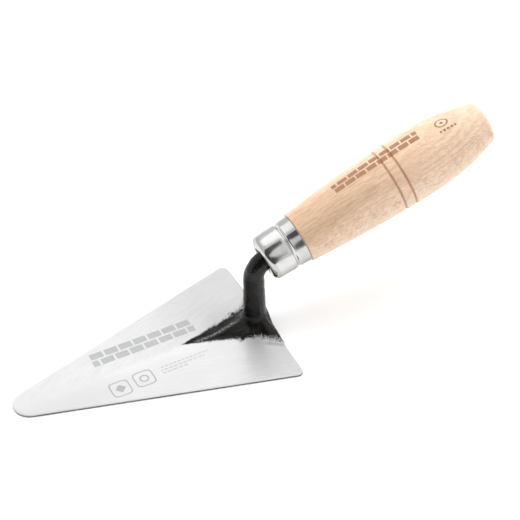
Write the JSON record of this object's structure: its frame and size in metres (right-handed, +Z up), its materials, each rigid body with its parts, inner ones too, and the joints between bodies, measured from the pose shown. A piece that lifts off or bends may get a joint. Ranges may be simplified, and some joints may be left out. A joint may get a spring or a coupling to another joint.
{
  "type": "brick trowel",
  "caption": "Small triangular brick trowel: a forged steel blade with a cranked neck and tang, a plated ferrule and a turned wooden handle, for laying and pointing mortar.",
  "frame": {"origin": "on the blade's flat underside, straight below the axis of the neck", "axes": "+X from the blade's tip towards the handle's butt, +Y to the side, +Z up from the underside towards the neck"},
  "size_m": [0.2697, 0.0906, 0.0928],
  "materials": {
    "ground_steel": "ground along the blade, bright",
    "black_lacquer": "black lacquer over forge scale, semi-gloss, on the neck and the root of the blade",
    "plated_ferrule": "bright plating, lightly drawn",
    "beech": "sanded beech, thin clear coat"
  },
  "bodies": {
    "root": {"blade_with_tang": "ground_steel", "ferrule": "plated_ferrule", "handle": "beech"}
  },
  "joints": []
}
